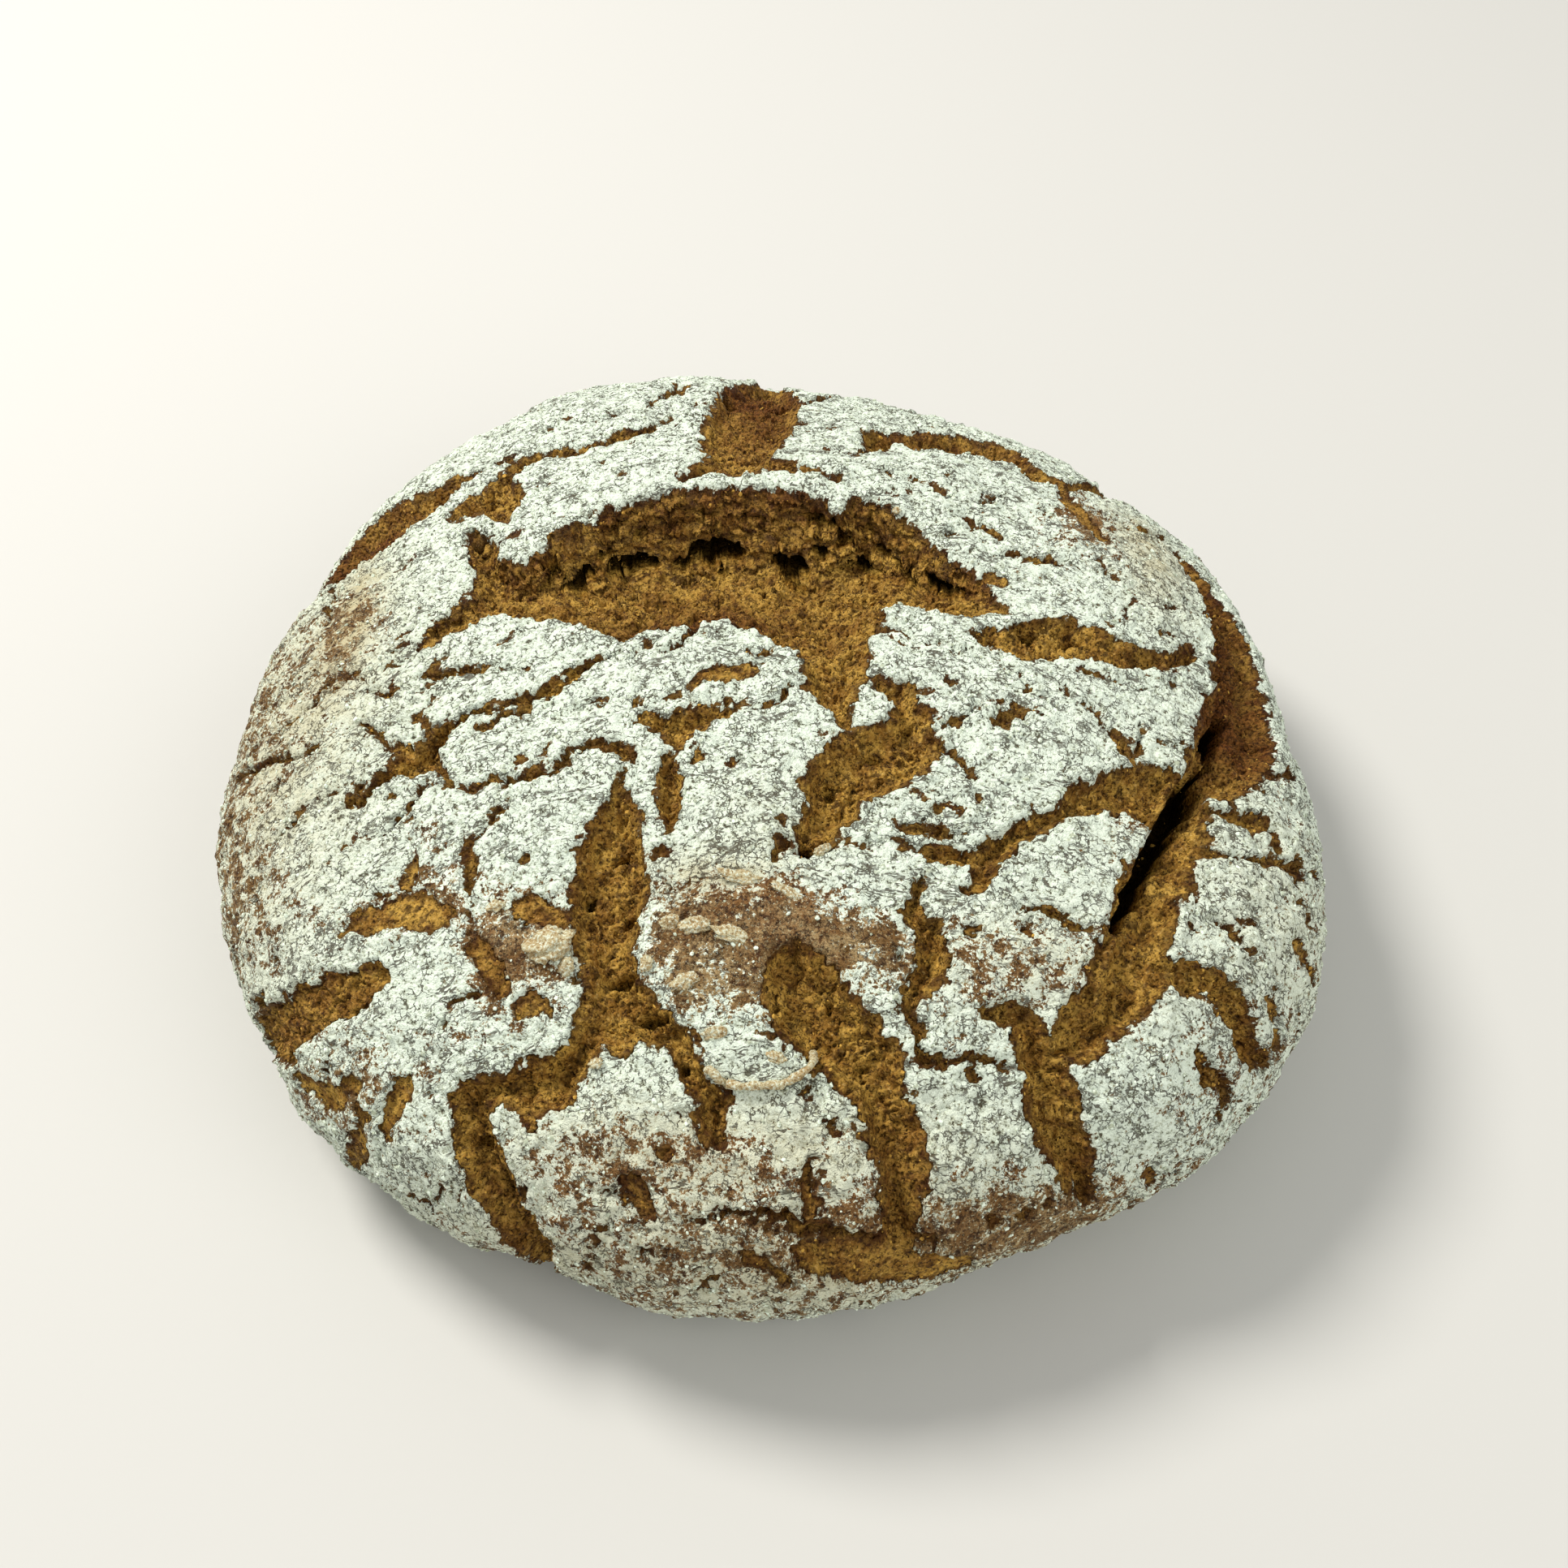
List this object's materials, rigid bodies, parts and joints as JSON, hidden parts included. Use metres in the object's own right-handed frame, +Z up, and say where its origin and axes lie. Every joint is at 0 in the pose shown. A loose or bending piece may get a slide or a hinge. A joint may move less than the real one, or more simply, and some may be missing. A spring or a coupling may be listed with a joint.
{
  "type": "rye bread loaf",
  "caption": "Uncut round farmhouse rye loaf: a low flat-based dome with a floured crust torn open by a wide gape over the crown and branching channels down the sides.",
  "frame": {"origin": "middle of the flat base, at the middle of the loaf's outline seen from above", "axes": "+Z up through the crown; -Y towards the side with the long front channels; +X towards the side with the rim tear"},
  "size_m": [0.2293, 0.2486, 0.0759],
  "materials": {
    "crust": "dry baked crust, dusted with pale flour over ochre-brown crumb; matte"
  },
  "bodies": {
    "root": {"loaf": "crust"}
  },
  "joints": []
}
